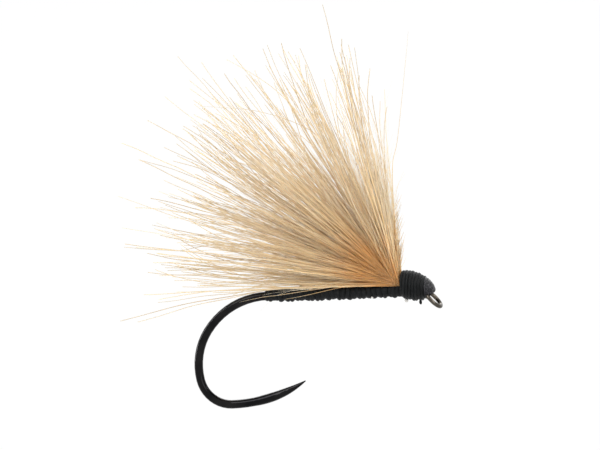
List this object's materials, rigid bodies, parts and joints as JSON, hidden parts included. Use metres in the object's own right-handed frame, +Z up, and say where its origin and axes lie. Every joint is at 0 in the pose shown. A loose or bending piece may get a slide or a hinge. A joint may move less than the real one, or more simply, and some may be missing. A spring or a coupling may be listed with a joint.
{
  "type": "dry fly",
  "caption": "Small barbless dry fly: black thread body and head on a ring-eyed hook, with one upright fan wing of fine tan hair.",
  "frame": {"origin": "centre of the hook's ring eye", "axes": "+X forward along the shank towards the eye, +Z up out of the wing, +Y to the far side; the point hangs below"},
  "size_m": [0.0173, 0.0084, 0.0216],
  "materials": {
    "black_nickel": "polished black nickel plate",
    "black_thread": "waxed thread, close wound",
    "wing_hair": "fine natural hair",
    "clear_varnish": "clear gloss"
  },
  "bodies": {
    "fly": {"hook": "black_nickel", "thread_base": "black_thread", "abdomen_wraps": "black_thread", "thorax_wraps": "black_thread", "wing_butts": "wing_hair", "head_wraps": "black_thread", "whip_finish": "black_thread", "head_cement": "clear_varnish", "varnish_bead": "clear_varnish", "thread_tag": "black_thread", "glue_spot": "clear_varnish", "wing_root": "wing_hair", "side_hair_upper": "wing_hair", "side_hair_lower": "wing_hair", "wing_hair_row8_far": "wing_hair", "wing_hair_row8_near": "wing_hair"},
    "hair_row1": {"wing_hair_row1_far": "wing_hair", "wing_hair_row1_near": "wing_hair", "stray_front_hair": "wing_hair"},
    "hair_row2": {"wing_hair_row2_far": "wing_hair", "wing_hair_row2_middle": "wing_hair", "wing_hair_row2_near": "wing_hair"},
    "hair_row3": {"wing_hair_row3_far": "wing_hair", "wing_hair_row3_near": "wing_hair"},
    "hair_row4": {"wing_hair_row4_far": "wing_hair", "wing_hair_row4_middle": "wing_hair", "wing_hair_row4_near": "wing_hair"},
    "hair_row5": {"wing_hair_row5_far": "wing_hair", "wing_hair_row5_near": "wing_hair"},
    "hair_row6": {"wing_hair_row6_far": "wing_hair", "wing_hair_row6_middle": "wing_hair", "wing_hair_row6_near": "wing_hair"},
    "hair_row7": {"wing_hair_row7_far": "wing_hair", "wing_hair_row7_near": "wing_hair"}
  },
  "joints": [
    {"name": "row1_flex", "type": "hinge", "parent": "fly", "child": "hair_row1", "pos_m": [-0.00196, 0, 0.00124], "axis": [0, -1, 0], "range_deg": [-10, 35], "stiffness_Nm_per_rad": 0.00002},
    {"name": "row2_flex", "type": "hinge", "parent": "fly", "child": "hair_row2", "pos_m": [-0.00196, 0, 0.00124], "axis": [0, -1, 0], "range_deg": [-8.62, 30.05], "stiffness_Nm_per_rad": 0.00002},
    {"name": "row3_flex", "type": "hinge", "parent": "fly", "child": "hair_row3", "pos_m": [-0.00196, 0, 0.00124], "axis": [0, -1, 0], "range_deg": [-7.19, 25.05], "stiffness_Nm_per_rad": 0.00002},
    {"name": "row4_flex", "type": "hinge", "parent": "fly", "child": "hair_row4", "pos_m": [-0.00196, 0, 0.00124], "axis": [0, -1, 0], "range_deg": [-5.76, 20.05], "stiffness_Nm_per_rad": 0.00002},
    {"name": "row5_flex", "type": "hinge", "parent": "fly", "child": "hair_row5", "pos_m": [-0.00196, 0, 0.00124], "axis": [0, -1, 0], "range_deg": [-4.34, 15.05], "stiffness_Nm_per_rad": 0.00002},
    {"name": "row6_flex", "type": "hinge", "parent": "fly", "child": "hair_row6", "pos_m": [-0.00196, 0, 0.00124], "axis": [0, -1, 0], "range_deg": [-2.91, 10.05], "stiffness_Nm_per_rad": 0.00002},
    {"name": "row7_flex", "type": "hinge", "parent": "fly", "child": "hair_row7", "pos_m": [-0.00196, 0, 0.00124], "axis": [0, -1, 0], "range_deg": [-1.48, 5.05], "stiffness_Nm_per_rad": 0.00002}
  ],
  "couplings": [
    {"joint": "row2_flex", "follows": "row1_flex", "ratio": 0.85714},
    {"joint": "row3_flex", "follows": "row1_flex", "ratio": 0.71429},
    {"joint": "row4_flex", "follows": "row1_flex", "ratio": 0.57143},
    {"joint": "row5_flex", "follows": "row1_flex", "ratio": 0.42857},
    {"joint": "row6_flex", "follows": "row1_flex", "ratio": 0.28571},
    {"joint": "row7_flex", "follows": "row1_flex", "ratio": 0.14286}
  ]
}
